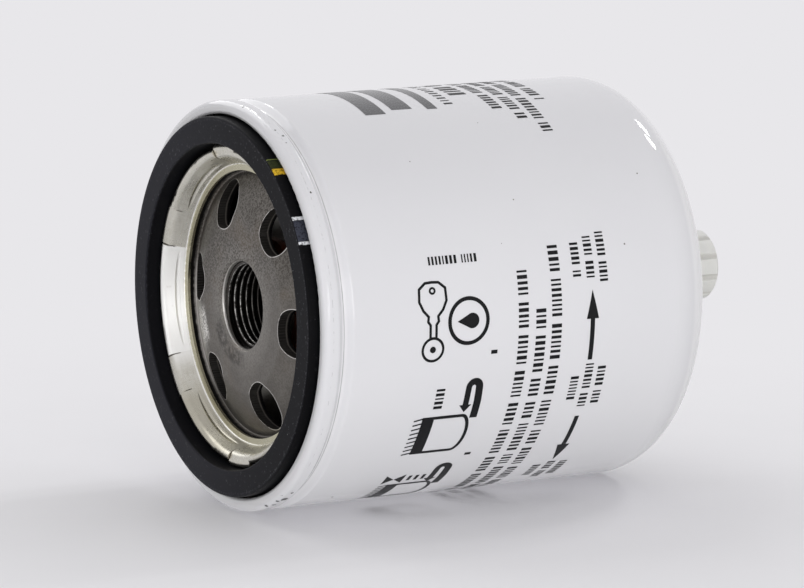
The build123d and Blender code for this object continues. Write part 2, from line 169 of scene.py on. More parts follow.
class Finish:
    """A material in the making. Its lengths are millimetres in the object's own frame."""

    def __init__(self, name, owner=None):
        self.owner = owner or bpy.data.materials.new(name)
        self.owner.use_nodes = True
        self.tree = self.owner.node_tree
        self.tree.nodes.clear()

    def node(self, kind, settings=None, sockets=None, output=0):
        """Adds one node: its settings first, then its sockets, and returns one of its outputs."""
        node = self.tree.nodes.new("ShaderNode" + kind)
        for name, value in (settings or {}).items():
            if name == "stops":
                ramp = node.color_ramp
                ramp.elements[1].position = value[-1][0]
                for place, _ in value[1:-1]:
                    ramp.elements.new(place)
                for element, (place, shade) in zip(ramp.elements, value):
                    element.position = place
                    element.color = (*shade, 1)
            else:
                setattr(node, name, value)
        for name, value in (sockets or {}).items():
            if isinstance(value, Field):
                self.tree.links.new(value.socket, node.inputs[name])
            elif isinstance(value, tuple) and len(node.inputs[name].default_value) == 4:
                node.inputs[name].default_value = (*value, 1)
            else:
                node.inputs[name].default_value = value
        return Field(self, node.outputs[output])

    def place(self, stretch=(1, 1, 1)):
        """Where a point lies, in millimetres."""
        scale = tuple(share / MM for share in stretch)
        point = self.node("TexCoord", output="Object")
        return self.node("VectorMath", {"operation": "MULTIPLY"}, {0: point, 1: scale})

    def axes(self):
        """A point's X, Y and Z."""
        point = self.place()
        return [self.node("SeparateXYZ", sockets={0: point}, output=axis) for axis in "XYZ"]

    def polar(self):
        """A point's radius, its angle about the axis in degrees, and its level."""
        x, y, level = self.axes()
        radius = (x * x + y * y).maths("SQRT")
        angle = y.maths("ARCTAN2", x) * (180 / math.pi)
        return radius, angle, level

    def noise(self, size, detail=2, rough=0.5, where=None):
        """Soft noise from 0 to 1, whose blotches are about size across."""
        sockets = {"Vector": where or self.place(), "Scale": 1 / size, "Detail": detail, "Roughness": rough}
        return self.node("TexNoise", None, sockets)

    def streaks(self, size, detail, *parts):
        """Noise over three fields of their own, which draws it out into lines."""
        return self.noise(size, detail, 0.6, self.node("CombineXYZ", None, dict(enumerate(parts))))

    def ramp(self, value, low, high):
        """Runs smoothly from 0 at low to 1 at high."""
        settings = {"interpolation_type": "SMOOTHSTEP"}
        return self.node("MapRange", settings, {"Value": value, "From Min": low, "From Max": high})

    def band(self, value, low, high, soft):
        """1 between low and high, with soft edges."""
        return self.ramp(value, low - soft, low + soft) * (1 - self.ramp(value, high - soft, high + soft))

    def mix(self, share, first, second):
        """A colour between first and second. The colour sockets of a Mix node are the seventh and eighth."""
        return self.node("Mix", {"data_type": "RGBA"}, {0: share, 6: first, 7: second}, 2)

    def bump(self, height, depth, strength=1.0):
        """Relief whose height runs over 0 to 1 for a depth in millimetres."""
        sockets = {"Height": height, "Distance": depth * MM, "Strength": strength}
        return self.node("Bump", None, sockets, "Normal")

    def end(self, shader, kind="Material"):
        """Ends the tree in this shader."""
        output = self.tree.nodes.new("ShaderNodeOutput" + kind)
        self.tree.links.new(shader.socket, output.inputs["Surface"])
        return self.owner

    def surface(self, **sockets):
        """Ends the material in one Principled shader."""
        named = {name.replace("_", " "): value for name, value in sockets.items()}
        return self.end(self.node("BsdfPrincipled", None, named))


def set_camera():
    """The photograph's camera: a long lens, rolled because the separator lies on its side."""
    azimuth, elevation, roll = map(math.radians, (CAMERA_AZIMUTH, CAMERA_ELEVATION, CAMERA_ROLL))
    back = Vector((
        math.sin(azimuth) * math.cos(elevation),
        -math.cos(azimuth) * math.cos(elevation),
        math.sin(elevation),
    ))
    level = Vector((0, 0, 1)).cross(back).normalized()
    upright = back.cross(level)
    right = level * math.cos(roll) + upright * math.sin(roll)
    over = back.cross(right)
    data = bpy.data.cameras.new("camera")
    data.sensor_width = SENSOR_WIDTH
    data.lens = SENSOR_WIDTH * FOCAL_PIXELS / PHOTO_WIDTH
    data.clip_start, data.clip_end = CAMERA_CLIP
    camera = bpy.data.objects.new("camera", data)
    place = Matrix((right, over, back)).transposed().to_4x4()
    place.translation = CAMERA_AIM + back * CAMERA_DISTANCE
    camera.matrix_world = place
    bpy.context.scene.collection.objects.link(camera)
    bpy.context.scene.camera = camera


def add_mesh(name, bm, smooth=True):
    """A new object from a bmesh."""
    mesh = bpy.data.meshes.new(name)
    bm.to_mesh(mesh)
    bm.free()
    for face in mesh.polygons:
        face.use_smooth = smooth
    thing = bpy.data.objects.new(name, mesh)
    bpy.context.scene.collection.objects.link(thing)
    return thing


# Floor: its reach and where it fades into the background, in metres, how much paler it is than the
# background, and how far its middle lies below the thread's mouth, in millimetres
FLOOR_REACH = 6.0
FLOOR_FADE = (0.07, 0.28)
FLOOR_LIFT = 1.02
FLOOR_MIDDLE = 50


def floor_paint():
    """Pale floor that fades into the background away from the can, and is clear from below."""
    finish = Finish("floor_paint")
    x, y, z = finish.axes()
    along = z + FLOOR_MIDDLE
    away = (x * x + y * y + along * along).maths("SQRT")
    plain = finish.ramp(away * MM, *FLOOR_FADE)
    grain = finish.noise(30, 3) * 0.03 + 0.985
    tone = finish.node("VectorMath", {"operation": "SCALE"}, {0: BACKGROUND, "Scale": grain * FLOOR_LIFT})
    lit = finish.node("BsdfDiffuse", None, {"Color": tone})
    glow = finish.node("Emission", None, {"Color": BACKGROUND, "Strength": 1.0})
    seen = finish.node("MixShader", None, {0: plain, 1: lit, 2: glow})
    behind = finish.node("NewGeometry", output="Backfacing")
    clear = finish.node("BsdfTransparent")
    return finish.end(finish.node("MixShader", None, {0: behind, 1: seen, 2: clear}))


def make_floor():
    """The pale floor that the separator lies on. It is seen from above only, and shades nothing."""
    across = Vector((0, 0, 1)).cross(UP)
    bm = bmesh.new()
    corners = [(-1, -1), (1, -1), (1, 1), (-1, 1)]
    foot = UP * -SEAM_RADIUS * MM
    ring = [bm.verts.new(foot + (across * a + Vector((0, 0, b))) * FLOOR_REACH) for a, b in corners]
    bm.faces.new(ring)
    bm.normal_update()
    if next(iter(bm.faces)).normal.dot(UP) < 0:
        bmesh.ops.reverse_faces(bm, faces=bm.faces)
    floor = add_mesh("floor", bm, smooth=False)
    floor.data.materials.append(floor_paint())
    floor.visible_diffuse = False
    floor.visible_shadow = False


# Light of the surroundings by height, from straight below at -1 to straight above at 1
WORLD_LEVELS = [(-1.0, 0.08), (-0.75, 0.25), (-0.4, 0.35), (0.0, 0.45), (0.5, 0.62), (1.0, 0.72)]

# Lamps: name, direction from the separator, distance and size in metres, power in watts
LAMPS = [
    ("key", (-0.04, -0.995, 0.085), 1.5, (0.8, 0.9), 5.6),
    ("low_key", (-0.60, -0.74, 0.32), 0.9, (0.6, 0.6), 3.3),
    ("overhead", (0.72, 0.68, 0.12), 1.5, (1.2, 1.2), 6.0),
    ("back_fill", (-0.60, 0.80, 0.10), 1.5, (1.0, 1.0), 6.5),
    ("side", (-0.04, -0.40, 0.90), 1.5, (0.8, 0.8), 2.0),
    ("window_near", (0.707, -0.005, -0.707), 1.5, (0.13, 0.22), 1.6),
    ("window_far", (0.709, 0.158, -0.690), 1.5, (0.13, 0.22), 1.6),
    ("window_face", (0.69, 0.673, -0.267), 1.5, (0.16, 0.16), 0.8),
]


def light_world():
    """Soft light from all round, stronger from above, with a pale background."""
    world = bpy.data.worlds.new("studio")
    bpy.context.scene.world = world
    finish = Finish("studio", world)
    direction = finish.node("TexCoord", output="Generated")
    height = finish.node("VectorMath", {"operation": "DOT_PRODUCT"}, {0: direction, 1: tuple(UP)}, "Value")
    stops = [((level + 1) / 2, (light,) * 3) for level, light in WORLD_LEVELS]
    light = finish.node("ValToRGB", {"stops": stops}, {"Fac": height * 0.5 + 0.5})
    lighting = finish.node("Background", None, {"Color": light, "Strength": 1.0})
    backdrop = finish.node("Background", None, {"Color": BACKGROUND, "Strength": 1.0})
    seen = finish.node("LightPath", output="Is Camera Ray") | finish.node("LightPath", output="Is Glossy Ray")
    seen = seen | finish.node("LightPath", output="Is Transmission Ray")
    finish.end(finish.node("MixShader", None, {0: seen, 1: lighting, 2: backdrop}), "World")


def add_lamp(name, direction, distance, size, power):
    """A soft rectangular lamp that faces the separator's middle."""
    data = bpy.data.lights.new(name, "AREA")
    data.shape = "RECTANGLE"
    data.size, data.size_y = size
    data.energy = power
    lamp = bpy.data.objects.new(name, data)
    towards = Vector(direction).normalized()
    middle = (cad_low + cad_high) / 2
    lamp.location = middle + towards * distance
    lamp.rotation_mode = "QUATERNION"
    lamp.rotation_quaternion = (-towards).to_track_quat("-Z", "Y")
    lamp.visible_camera = False
    bpy.context.scene.collection.objects.link(lamp)


def light_studio():
    """Soft keys beside and below the camera, fills above and behind, and small windows for the glints."""
    light_world()
    for lamp in LAMPS:
        add_lamp(*lamp)


# Marks on the enamel: place below the gasket's face, angle, size
CHIPS = [
    (4.3, -158.5, 0.9), (3.2, -160.0, 0.5), (2.6, -156.0, 0.35), (4.6, -154.0, 0.4), (3.6, -163.5, 0.6),
    (2.4, -166.0, 0.7), (3.9, -169.0, 0.45), (5.0, -36.0, 0.30), (4.2, -33.0, 0.25), (4.6, -39.0, 0.22),
    (3.0, -16.0, 0.35), (2.6, -5.0, 0.3), (4.6, -57.5, 0.25),
]
SPECKS = [
    (32.0, -49.8, 0.16), (54.5, -36.4, 0.14), (54.1, -64.7, 0.18), (87.9, -59.7, 0.20), (79.9, -80.1, 0.22),
    (48.4, -77.0, 0.10), (17.9, -162.3, 0.35), (62.0, 24.0, 0.18), (24.0, 75.0, 0.2), (81.0, 140.0, 0.2),
    (41.0, 178.0, 0.25), (90.0, 110.0, 0.15),
]


def can_point(along, angle, radius=CAN_RADIUS):
    """A point on the can in millimetres, from its distance below the gasket's face and its angle."""
    turn = math.radians(angle)
    return Vector((radius * math.cos(turn), radius * math.sin(turn), GASKET_FACE - along))


def spots(finish, marks, ragged, radius):
    """Where small marks lie, with ragged edges."""
    point = finish.place()
    wobble = (finish.noise(0.35, 3) - 0.5) * ragged
    found = None
    for along, angle, size in marks:
        centre = tuple(can_point(along, angle, radius))
        away = finish.node("VectorMath", {"operation": "DISTANCE"}, {0: point, 1: centre}, "Value")
        spot = 1 - finish.ramp(away + wobble, size * 0.75, size * 1.1)
        found = spot if found is None else found | spot
    return found


def white_enamel():
    """Glossy white enamel on the can, with a painted shadow line in the seam's groove, painted light on the
    groove's walls, chips and specks.
    """
    finish = Finish("white_enamel")
    radius, _, level = finish.polar()
    cloud = finish.noise(38, 2)
    white = finish.mix(cloud, (0.690, 0.685, 0.715), (0.735, 0.730, 0.755))
    smear = finish.noise(3.5, 3, where=finish.place((1, 1, 0.4)))
    sunk = 1 - finish.ramp(radius, GROOVE_RADIUS + 0.05, GROOVE_RADIUS + 0.75)
    # Painted shadow: a dark line where the seam's roll meets the can's wall, broken up by the smear noise
    groove_shadow = finish.band(level, GROOVE_LEVEL - 0.12, GROOVE_LEVEL + 0.10, 0.10) * sunk
    # Painted light: the enamel inside the seam's groove is made paler to lift the shade that falls there
    white = finish.mix(sunk * 0.6, white, (0.86, 0.855, 0.87))
    toned = finish.mix(groove_shadow * (smear * 0.6 + 0.4), white, (0.10, 0.10, 0.105))
    dashes = finish.ramp(finish.noise(1.1, 3), 0.50, 0.60)
    seam_line = finish.band(level, *SEAM_LINE, 0.06) * dashes * 0.5
    toned = finish.mix(seam_line, toned, (0.30, 0.30, 0.31))
    wear_and_sheen = spots(finish, CHIPS, 0.55, SEAM_RADIUS)
    toned = finish.mix(wear_and_sheen, toned, (0.030, 0.028, 0.028))
    toned = finish.mix(spots(finish, SPECKS, 0.10, CAN_RADIUS), toned, (0.10, 0.09, 0.08))
    peel = finish.noise(1.6, 1)
    gloss = finish.noise(9, 3) * 0.02 + 0.035
    relief = finish.bump(peel - wear_and_sheen * 2.0, 0.012, 0.6)
    return finish.surface(
        Base_Color=toned, Roughness=gloss + wear_and_sheen * 0.5, Normal=relief, IOR=1.5,
        Coat_Weight=0.25, Coat_Roughness=0.03,
    )


def slit_shade(finish, angle):
    """Close to the cut edges of the retainer's slits."""
    turn = abs((angle - LUG_START + 180 / LUG_COUNT) % (360 / LUG_COUNT) - 180 / LUG_COUNT)
    return finish.band(turn, LUG_HALF - 0.25, LUG_HALF + 0.15, 0.12)


def painted_highlight_part(finish, radius, angle):
    """Painted highlight on the retainer's brightest part, from one lug's slit to the next and a little past it
    inside.
    """
    last = BRIGHT_PART[1]
    past = finish.band(angle, last - 4, last + 4, 5) * (1 - finish.ramp(radius, *BRIGHT_PAST)) * 0.8
    bright = finish.band(angle, *BRIGHT_PART, 0.3) | past
    return bright * finish.ramp(radius, RING_CREASE, RING_CREASE + 0.3)


def tinned_sheet():
    """Tinned sheet of the retainer: warm silver, clouded, with stretch marks round it, a painted highlight over
    one part and on its crease, and painted shade over another part.
    """
    finish = Finish("tinned_sheet")
    radius, angle, level = finish.polar()
    drawn = finish.streaks(2.2, 4, angle * 0.35, radius * 4.0, level * 4.0)
    cloud = finish.noise(5, 3)
    crackle = finish.noise(0.5, 4, 0.7)
    tin = finish.mix(cloud, (0.52, 0.505, 0.435), (0.72, 0.705, 0.65))
    shaded = finish.band(angle, *SHADED_PART, 6) * (1 - finish.ramp(radius, *SHADED_EDGE) * 0.7)
    tin = finish.mix(shaded * 0.65, tin, (0.40, 0.375, 0.29))
    tin = finish.mix(finish.ramp(drawn, 0.45, 0.75) * 0.30, tin, (0.44, 0.41, 0.33))
    tin = finish.mix(finish.ramp(crackle, 0.50, 0.70) * 0.30, tin, (0.46, 0.42, 0.34))
    ring = 1 - finish.ramp(radius, RING_CREASE - 0.12, RING_CREASE + 0.02)
    tin = finish.mix(ring * 0.85, tin, (0.50, 0.475, 0.335))
    brushed = finish.ramp(finish.streaks(1.0, 3, angle * 2.2, radius * 0.5, level * 0.5), 0.40, 0.68)
    tin = finish.mix(brushed * 0.22, tin, (0.42, 0.40, 0.33))
    # Painted highlight: near-white and less metallic where the sheet reflects the lamp beside the camera
    painted_highlight = painted_highlight_part(finish, radius, angle)
    tin = finish.mix(painted_highlight * 0.88, tin, (0.98, 0.975, 0.95))
    # Painted highlight: a thin bright line along the ring's crease
    crease_highlight = finish.band(radius, RING_CREASE - 0.02, RING_CREASE + 0.16, 0.06)
    tin = finish.mix(crease_highlight * 0.8, tin, (0.95, 0.94, 0.90))
    stained = finish.ramp(finish.noise(3.0, 4, 0.6), 0.60, 0.74)
    tin = finish.mix(stained * 0.25, tin, (0.36, 0.325, 0.245))
    cut = slit_shade(finish, angle) * finish.band(level, *SLIT_LEVELS, 0.2)
    tin = finish.mix(cut * 0.5, tin, (0.20, 0.13, 0.075))
    relief = finish.bump(drawn * 0.6 + crackle * 0.4, 0.035, 0.5)
    gloss = cloud * 0.16 + drawn * 0.10 + 0.15 + painted_highlight * 0.05
    return finish.surface(Base_Color=tin, Metallic=1 - painted_highlight * 0.4, Roughness=gloss, Normal=relief)


def inlet_reach(x, y):
    """Distance from the middle of the nearest inlet."""
    found = None
    for inlet in range(INLET_COUNT):
        turn = math.radians(INLET_START + inlet * 360 / INLET_COUNT)
        dx = x - INLET_CIRCLE * math.cos(turn)
        dy = y - INLET_CIRCLE * math.sin(turn)
        away = (dx * dx + dy * dy).maths("SQRT")
        found = away if found is None else found.maths("MINIMUM", away)
    return found


def boss_depth(radius, level):
    """Depth below the plate's boss and cone, in millimetres."""
    cone = (radius - CONE_TOP) | 0.0
    outer = (radius - BROW_RADIUS) | 0.0
    return BOSS_HEIGHT - cone * CONE_FALL - outer * BROW_FALL - level


def plate_face(finish, x, radius, angle, mottle, grain):
    """Colour of the plate's face, mottled, pitted, browned and smudged, with a painted sheen round its neck,
    and where it has a painted glint.
    """
    steel = finish.mix(mottle, (0.095, 0.088, 0.079), (0.225, 0.211, 0.192))
    # Painted sheen: lighter round the neck
    wear_and_sheen = 1 - finish.ramp(radius, *NECK_SHEEN)
    steel = finish.mix(wear_and_sheen * 0.35, steel, (0.36, 0.345, 0.32))
    pitted = finish.ramp(grain, 0.44, 0.60) * (finish.ramp(x, -4, 14) * 0.65 + 0.35)
    steel = finish.mix(pitted, steel, (0.055, 0.048, 0.040))
    steel = finish.mix(finish.ramp(grain, 0.62, 0.72) * 0.5, steel, (0.42, 0.40, 0.37))
    # Painted highlight: a grainy near-white glint on the cone, where it mirrors the bright retainer
    dust_and_glint = finish.band(radius, *GLINT_RADII, 0.8) * finish.band(angle, *GLINT_ANGLES, 5)
    dust_and_glint = dust_and_glint * finish.ramp(grain, 0.43, 0.54)
    steel = finish.mix(dust_and_glint * 0.85, steel, (0.90, 0.88, 0.84))
    brown = finish.ramp(finish.noise(11, 3), 0.50, 0.72) * finish.ramp(grain, 0.35, 0.6)
    steel = finish.mix(brown * 0.45, steel, (0.165, 0.130, 0.095))
    smudge = finish.ramp(finish.noise(3.0, 3, 0.75), 0.36, 0.58) * finish.band(radius, *SMUDGE_RADII, 0.8)
    smudge = smudge * finish.band(angle, *SMUDGE_ANGLES, 12)
    return finish.mix(smudge * 0.75, steel, (0.045, 0.041, 0.037)), dust_and_glint


def neck_edges(finish, steel, radius, level):
    """A painted highlight on the lip and painted shade down the bore of the plate's threaded neck, added to its
    colour.
    """
    lip_glint = 1 - finish.ramp(radius, THREAD_RADIUS + 0.10, THREAD_RADIUS + 0.18)
    lip_glint = lip_glint * finish.ramp(level, -0.5, -0.2)
    steel = finish.mix(lip_glint * 0.9, steel, (0.80, 0.78, 0.74))
    bore_shade = 1 - finish.ramp(radius, THREAD_RADIUS + 0.05, THREAD_RADIUS + 0.3)
    bore_shade = bore_shade * (1 - finish.ramp(level, -0.6, -0.3))
    return finish.mix(bore_shade, steel, (0.030, 0.028, 0.026)), lip_glint


def inlet_walls(finish, steel, wall, depth):
    """Painted shade on the punched walls of the inlets, added to the plate's colour: dark, then a painted
    highlight line, then black painted shade further down.
    """
    steel = finish.mix(wall, steel, (0.040, 0.037, 0.034))
    steel = finish.mix(wall * finish.band(depth, *WALL_HIGHLIGHT, 0.15), steel, (0.24, 0.22, 0.20))
    return finish.mix(wall * finish.ramp(depth, *WALL_SHADE), steel, (0.004, 0.004, 0.004))


def plate_steel():
    """Dark rolled steel of the base plate, with painted highlights on its edges, a painted shadow at its step,
    painted shade in its inlets and a painted sheen.
    """
    finish = Finish("plate_steel")
    x, y, level = finish.axes()
    radius, angle, _ = finish.polar()
    mottle = finish.noise(6, 4, 0.6)
    grain = finish.noise(0.50, 4, 0.75)
    steel, dust_and_glint = plate_face(finish, x, radius, angle, mottle, grain)
    away = inlet_reach(x, y)
    # Painted highlight: thin bright lines on the inlets' rims, where the edges would catch the light
    rim_glint = finish.band(away, INLET_RADIUS + 0.02, INLET_RADIUS + 0.16, 0.05)
    rim_glint = rim_glint * finish.ramp(finish.noise(1.3, 3), 0.3, 0.5)
    steel = finish.mix(rim_glint, steel, (0.75, 0.73, 0.70))
    steel, lip_glint = neck_edges(finish, steel, radius, level)
    # Painted shadow: near-black where the plate steps down under the edge of the retainer's ring
    wander = (finish.noise(1.4, 3, 0.6) - 0.5) * 0.2
    foot = finish.ramp(radius + wander, STEP_RADIUS + 0.10, STEP_RADIUS + 0.28)
    steel = finish.mix(foot, steel, (0.010, 0.009, 0.008))
    # Painted shade down the inlets' walls, with a painted highlight line
    wall = 1 - finish.ramp(away, INLET_RADIUS - 0.01, INLET_RADIUS + 0.03)
    steel = inlet_walls(finish, steel, wall, boss_depth(radius, level))
    sheen = finish.ramp(radius, *SHEEN_RADII) * finish.band(angle, *SHEEN_ANGLES, 14) * (1 - foot) * (1 - wall)
    steel = finish.mix(sheen * 0.6, steel, (0.58, 0.56, 0.53))
    gloss = mottle * 0.15 + grain * 0.18 + 0.28 - dust_and_glint * 0.12 - lip_glint * 0.10 + (foot | wall) * 0.4
    relief = finish.bump(grain * 0.6 + mottle * 0.4, 0.04, 0.6)
    return finish.surface(
        Base_Color=steel, Metallic=0.9 - dust_and_glint * 0.55, Roughness=gloss - rim_glint * 0.15, Normal=relief,
    )


def oiled_steel():
    """Dark oily steel of the thread, darkened further as painted shade for the inside of the bore, with worn
    crests whose painted highlight fades deeper in the bore.
    """
    finish = Finish("oiled_steel")
    radius, _, level = finish.polar()
    blotch = finish.noise(1.2, 4, 0.7)
    crest = 1 - finish.ramp(radius, THREAD_CREST + 0.01, THREAD_CREST + 0.17)
    # Worn crests, bright with a painted highlight that fades out deeper in the bore as painted shade
    wear_and_sheen = crest * finish.ramp(blotch, 0.38, 0.60) * finish.ramp(level, -8.5, -2.0)
    # The near-black base is partly painted shade for the dark inside of the bore
    steel = finish.mix(blotch, (0.018, 0.016, 0.015), (0.07, 0.064, 0.058))
    steel = finish.mix(wear_and_sheen, steel, (0.62, 0.61, 0.58))
    relief = finish.bump(blotch, 0.03, 0.6)
    return finish.surface(Base_Color=steel, Metallic=0.95, Roughness=blotch * 0.2 + 0.14, Normal=relief)


# Paint strokes across the gasket's outer wall: from angle, to angle, colour
GASKET_STROKES = [
    (-40.9, -40.5, (0.16, 0.19, 0.05)),
    (-44.4, -41.3, (0.030, 0.036, 0.012)),
    (-47.2, -44.7, (0.70, 0.44, 0.03)),
    (-63.6, -62.5, (0.72, 0.73, 0.76)),
    (-70.4, -63.8, (0.045, 0.048, 0.065)),
    (-71.4, -70.5, (0.72, 0.73, 0.76)),
]


def sealing_rubber():
    """Black moulded rubber of the gasket: dusty, with lint, and strokes of paint on its wall; painted shade on
    its near side, its outer wall and its bore.
    """
    finish = Finish("sealing_rubber")
    _, y, _ = finish.axes()
    radius, angle, _ = finish.polar()
    cloud = finish.noise(7, 4, 0.6)
    # Painted shade: the rubber is darker on its near side, towards falling y
    far_side_light = finish.ramp(y, -30, 25)
    black = finish.mix(cloud * 0.3 + far_side_light * 0.7, (0.002, 0.002, 0.003), (0.019, 0.019, 0.025))
    flecks = finish.node("TexVoronoi", None, {"Vector": finish.place(), "Scale": 0.9})
    rare = finish.ramp(finish.noise(2.6, 2), 0.60, 0.68)
    dust = (1 - finish.ramp(flecks, 0.05, 0.14)) * rare
    black = finish.mix(dust * 0.8, black, (0.30, 0.30, 0.31))
    lint = finish.ramp(finish.noise(0.7, 3), 0.62, 0.72) * 0.4
    black = finish.mix(lint, black, (0.10, 0.10, 0.11))
    # A lighter, broken line along the outer edge of the face
    edge = finish.band(radius, GASKET_WALL - 0.75, GASKET_WALL - 0.35, 0.15)
    dust_and_glint = edge * finish.ramp(finish.noise(0.45, 4, 0.7), 0.50, 0.66)
    black = finish.mix(dust_and_glint * 0.6, black, (0.10, 0.10, 0.115))
    wall = finish.ramp(radius, GASKET_WALL - 0.1, GASKET_WALL)
    inside = 1 - finish.ramp(radius, GASKET_BORE, GASKET_BORE + 0.15)
    # Painted shade: the outer wall and the bore are darker than the face
    black = finish.mix((wall | inside) * 0.8, black, (0.0015, 0.0015, 0.002))
    patchy = finish.noise(0.5, 3)
    for low, high, paint in GASKET_STROKES:
        stroke = finish.band(angle + (patchy - 0.5) * 0.6, low, high, 0.12) * wall
        black = finish.mix(stroke * (finish.ramp(patchy, 0.34, 0.52) * 0.65 + 0.35), black, paint)
    relief = finish.bump(finish.noise(0.3, 2) * 0.5 + cloud * 0.5, 0.03, 0.5)
    return finish.surface(
        Base_Color=black, Roughness=cloud * 0.15 + 0.46, Normal=relief, Specular_IOR_Level=0.08,
    )


def orange_rubber():
    """Orange moulded rubber of the inner seal, darkened to a dim red-brown as painted shade for the inside of
    the filter.
    """
    finish = Finish("orange_rubber")
    cloud = finish.noise(4, 3)
    tone = finish.mix(cloud, (0.090, 0.018, 0.006), (0.130, 0.028, 0.009))
    relief = finish.bump(finish.noise(0.4, 2), 0.02, 0.4)
    return finish.surface(Base_Color=tone, Roughness=cloud * 0.15 + 0.45, Normal=relief)


def pressed_steel():
    """Thin pressed steel of the element's caps, tube and clip, kept dark partly as painted shade for the inside
    of the filter.
    """
    finish = Finish("pressed_steel")
    radius, angle, level = finish.polar()
    drawn = finish.streaks(1.8, 4, radius * 3.0, angle * 0.2, level * 2.0)
    tone = finish.mix(drawn, (0.20, 0.195, 0.18), (0.34, 0.33, 0.31))
    relief = finish.bump(drawn, 0.02, 0.5)
    return finish.surface(Base_Color=tone, Metallic=1.0, Roughness=drawn * 0.2 + 0.28, Normal=relief)


def potting_compound():
    """Grey potting that was poured into the caps, with small pits."""
    finish = Finish("potting_compound")
    pits = finish.node("TexVoronoi", None, {"Vector": finish.place(), "Scale": 0.6})
    cloud = finish.noise(5, 3)
    tone = finish.mix(cloud, (0.075, 0.08, 0.085), (0.13, 0.135, 0.14))
    relief = finish.bump(finish.ramp(pits, 0.05, 0.3), 0.08, 0.6)
    return finish.surface(Base_Color=tone, Roughness=cloud * 0.1 + 0.5, Normal=relief)


def pleated_paper():
    """Resin-treated filter paper: fibrous, yellowish, darker at its folds."""
    finish = Finish("pleated_paper")
    radius, _, _ = finish.polar()
    fibres = finish.noise(0.35, 5, 0.7, finish.place((1, 1, 0.3)))
    tone = finish.mix(fibres, (0.60, 0.48, 0.27), (0.76, 0.64, 0.42))
    fold = finish.ramp(radius, *FOLD_RADII) * 0.35
    tone = finish.mix(fold, tone, (0.42, 0.30, 0.15))
    relief = finish.bump(fibres, 0.06, 0.7)
    return finish.surface(Base_Color=tone, Roughness=fibres * 0.1 + 0.78, Normal=relief)


def coil_steel():
    """Oil-tempered wire of the spring, with drawing lines along it."""
    finish = Finish("coil_steel")
    radius, angle, level = finish.polar()
    drawn = finish.streaks(1.5, 4, radius * 5.0, angle * 0.12, level * 5.0)
    tone = finish.mix(drawn, (0.10, 0.10, 0.105), (0.24, 0.235, 0.23))
    relief = finish.bump(drawn, 0.02, 0.6)
    return finish.surface(Base_Color=tone, Metallic=1.0, Roughness=drawn * 0.2 + 0.25, Normal=relief)


def plated_steel():
    """Zinc-plated turned steel of the drain fitting, with fine turning lines."""
    finish = Finish("plated_steel")
    radius, angle, level = finish.polar()
    turned = finish.streaks(1.0, 3, radius * 6.0, angle * 0.04, level * 6.0)
    cloud = finish.noise(4, 3)
    tone = finish.mix(cloud, (0.55, 0.56, 0.57), (0.70, 0.70, 0.69))
    relief = finish.bump(turned, 0.015, 0.6)
    gloss = cloud * 0.12 + turned * 0.1 + 0.2
    return finish.surface(Base_Color=tone, Metallic=1.0, Roughness=gloss, Normal=relief)


def ring_rubber():
    """Black rubber of the small rings and the washer."""
    finish = Finish("ring_rubber")
    cloud = finish.noise(2.5, 3)
    tone = finish.mix(cloud, (0.014, 0.014, 0.015), (0.028, 0.028, 0.030))
    relief = finish.bump(finish.noise(0.3, 2), 0.015, 0.4)
    return finish.surface(Base_Color=tone, Roughness=cloud * 0.15 + 0.4, Normal=relief)


def knob_plastic():
    """Natural moulded plastic of the drain valve: pale, faintly clouded, with painted shade in its flutes."""
    finish = Finish("knob_plastic")
    radius, _, _ = finish.polar()
    cloud = finish.noise(3.5, 3)
    tone = finish.mix(cloud, (0.63, 0.63, 0.61), (0.74, 0.735, 0.71))
    # Painted shade: darker in the hollows of the flutes
    flute = (1 - finish.ramp(radius, *FLUTE_TOP)) * finish.ramp(radius, *FLUTE_FOOT)
    tone = finish.mix(flute * 0.35, tone, (0.36, 0.34, 0.30))
    relief = finish.bump(finish.noise(0.6, 3), 0.012, 0.5)
    return finish.surface(
        Base_Color=tone, Roughness=cloud * 0.12 + 0.34, Normal=relief, Subsurface_Weight=0.12,
        Subsurface_Radius=(1.2 * MM, 1.2 * MM, 1.0 * MM),
    )


def black_ink():
    """Screen-printed black ink, slightly uneven and thin at its edges."""
    finish = Finish("black_ink")
    cloud = finish.noise(0.8, 4, 0.6)
    tone = finish.mix(cloud, (0.004, 0.004, 0.005), (0.010, 0.010, 0.011))
    relief = finish.bump(cloud, 0.006, 0.4)
    return finish.surface(
        Base_Color=tone, Roughness=cloud * 0.12 + 0.30, Normal=relief, Specular_IOR_Level=0.15,
    )


def grey_ink():
    """Grey ink of the bars, darker towards their lower ends."""
    finish = Finish("grey_ink")
    _, angle, _ = finish.polar()
    down = 1 - finish.ramp(angle, *BAR_SHADE)
    tone = finish.mix(down, (0.20, 0.20, 0.205), (0.085, 0.085, 0.09))
    grain = finish.noise(0.5, 4, 0.6)
    tone = finish.mix(grain * 0.3, tone, (0.05, 0.05, 0.053))
    relief = finish.bump(grain, 0.006, 0.4)
    return finish.surface(Base_Color=tone, Roughness=grain * 0.1 + 0.22, Normal=relief)


FINISHES = {
    "can": white_enamel, "gasket": sealing_rubber, "retainer": tinned_sheet, "base_plate": plate_steel,
    "inner_seal": orange_rubber, "top_end_cap": pressed_steel, "bottom_end_cap": pressed_steel,
    "top_adhesive": potting_compound, "bottom_adhesive": potting_compound, "filter_media": pleated_paper,
    "media_clip": pressed_steel, "centre_tube": pressed_steel, "element_spring": coil_steel,
    "drain_bushing": plated_steel, "bushing_washer": ring_rubber, "drain_valve": knob_plastic,
    "valve_ring": ring_rubber, "seat_ring": ring_rubber,
}


def dress_nodes():
    """Gives each piece of the frame its finish."""
    made = {}
    for name, finish in FINISHES.items():
        if finish not in made:
            made[finish] = finish()
        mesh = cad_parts[name].data
        mesh.materials.clear()
        mesh.materials.append(made[finish])


